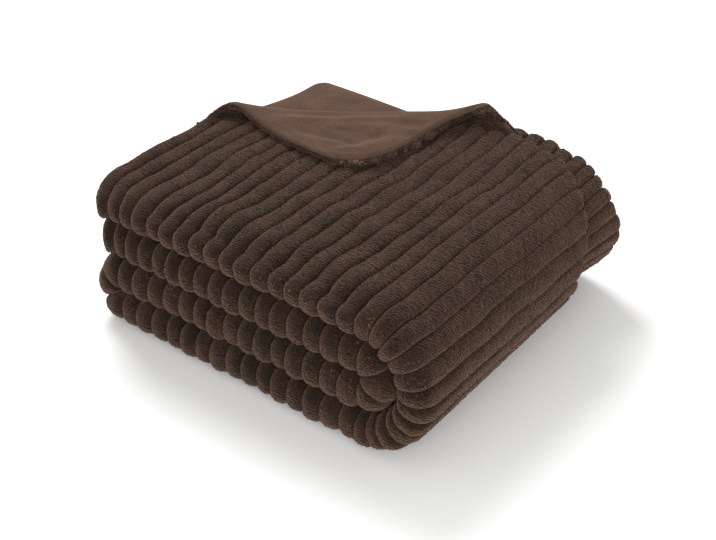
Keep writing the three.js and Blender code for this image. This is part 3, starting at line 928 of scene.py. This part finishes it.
def stage_material():
    material = bpy.data.materials.new("pale_ground")
    shader = Graph(material).shader
    shader.inputs["Base Color"].default_value = (0.86, 0.86, 0.85, 1)
    shader.inputs["Roughness"].default_value = 0.9
    return material


# In metres: how far apart the partings with their painted shade lie, and from which y to which that painted
# shade fades behind the front folds
PARTING_PITCH = 0.0046
STREAKS_FADE = (-0.205, -0.165)
# How fast the noise that breaks the partings up varies along x, y and z
PARTING_STRETCH = (150, 260, 260)
SHEEN_TINT = (0.85, 0.53, 0.38, 1)
RIBBED_TONES = ((0.04, 0.0256, 0.0188), (0.068, 0.0366, 0.0238), (0.105, 0.057, 0.0375))
SMOOTH_TONES = ((0.0425, 0.0256, 0.017), (0.0508, 0.0289, 0.0194), (0.062, 0.0335, 0.0234))
ribbed_plush = plush_material("ribbed_plush", RIBBED_TONES, parting_shade_depth=0.9, mottle_scale=34,
                              bump_depth=0.002, sheen=0.3, painted_root_shade_tip_light=(0.22, 2.8))
smooth_plush = plush_material("smooth_plush", SMOOTH_TONES, parting_shade_depth=0.08, mottle_scale=24,
                              bump_depth=0.0005, sheen=0.25)


# camera and light

# The photo's view, fitted to the stack: the camera stands here in the stack's millimetres, and looks down
# from this far round and this far up
CAMERA_PLACE = np.array([1200.1, -951.0, 1097.3])
CAMERA_AZIMUTH = 37.918
CAMERA_ELEVATION = 34.584
CAMERA_LENS = 67.54


def add_camera():
    across, ahead = arc(CAMERA_AZIMUTH)
    level, up_share = arc(CAMERA_ELEVATION)
    back = Vector((ahead * level, -across * level, up_share))
    right = Vector((across, ahead, 0))
    data = bpy.data.cameras.new("camera")
    data.lens = CAMERA_LENS
    data.sensor_width = 36
    data.sensor_fit = "HORIZONTAL"
    data.clip_end = 50
    turn = Matrix((right, back.cross(right), back)).transposed().to_4x4()
    found = add_object("camera", data)
    found.matrix_world = Matrix.Translation(Vector((CAMERA_PLACE - ORIGIN) * MM)) @ turn
    bpy.context.scene.camera = found


def area_light(name, place, size, power, target=(0, 0, 0.1)):
    data = bpy.data.lights.new(name, "AREA")
    data.size = size
    data.energy = power
    light = add_object(name, data)
    light.location = place
    light.rotation_euler = (Vector(target) - Vector(place)).to_track_quat("-Z", "Y").to_euler()


def add_studio():
    area_light("overhead", (-1.3, 0.7, 2.0), 1.1, 58)
    area_light("front_fill", (1.5, -1.9, 1.0), 2.0, 57)
    world = bpy.data.worlds.new("studio")
    world.use_nodes = True
    background = world.node_tree.nodes["Background"]
    background.inputs["Color"].default_value = (1, 1, 1, 1)
    background.inputs["Strength"].default_value = 0.66
    bpy.context.scene.world = world
    bpy.context.scene.view_settings.view_transform = "Standard"


def add_floor(half):
    corners = [(-half, -half, 0), (half, -half, 0), (half, half, 0), (-half, half, 0)]
    mesh = bpy.data.meshes.new("floor")
    mesh.from_pydata(corners, [], [(0, 1, 2, 3)])
    mesh.materials.append(stage_material())
    return add_object("floor", mesh)


add_camera()
add_studio()
floor = add_floor(6)


# pieces

points, faces, lined, caps, cloth_grid, cloth_spots, cloth_columns = build_cloth()
cloth = cloth_object("plush_cloth", points, faces, lined, caps)
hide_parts("face_cloth")
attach(cloth, "root")

flap_points, flap_faces, flap_lined, flap_caps, flap_grid, flap_spots, flap_columns, hem_and_painted_light = build_flap()
flap = cloth_object("turned_corner", flap_points, flap_faces, flap_lined, flap_caps)
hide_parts("reverse_flap")
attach(flap, "root")

under_points, under_faces = build_uncovered()
under = mesh_object("uncovered_reverse", under_points, under_faces, smooth_plush)
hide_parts("reverse_corner")
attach(under, "root")

# Pile, on every part of the ribbed face that isn't pressed against another layer
all_points = np.concatenate([points, flap_points]).tolist()
all_faces = np.concatenate([faces, flap_faces + len(points)]).tolist()
tree = BVHTree.FromPolygons(all_points, all_faces)
random = np.random.default_rng(99)
free = exposed(cloth_grid, tree, cloth_columns - 1, CLOTH_ROOM)
flap_free = exposed(flap_grid, tree, flap_columns, CORNER_ROOM, -1)
cloth_blades = pile_blades(cloth_grid, cloth_spots, free, CLOTH_BLADES, random, PILE_WIDTH)
hem_blades = pile_blades(flap_grid, flap_spots, flap_free, CORNER_BLADES, random, HEM_PILE_WIDTH, -1)
# Painted light at the blades' tips: even on the cloth, painted highlight and painted shade along the corner's
# hem
light = np.concatenate([np.ones(len(cloth_blades)), tuft_painted_light(hem_blades, hem_and_painted_light)])
pile = add_pile(np.concatenate([cloth_blades, hem_blades]), light, random)
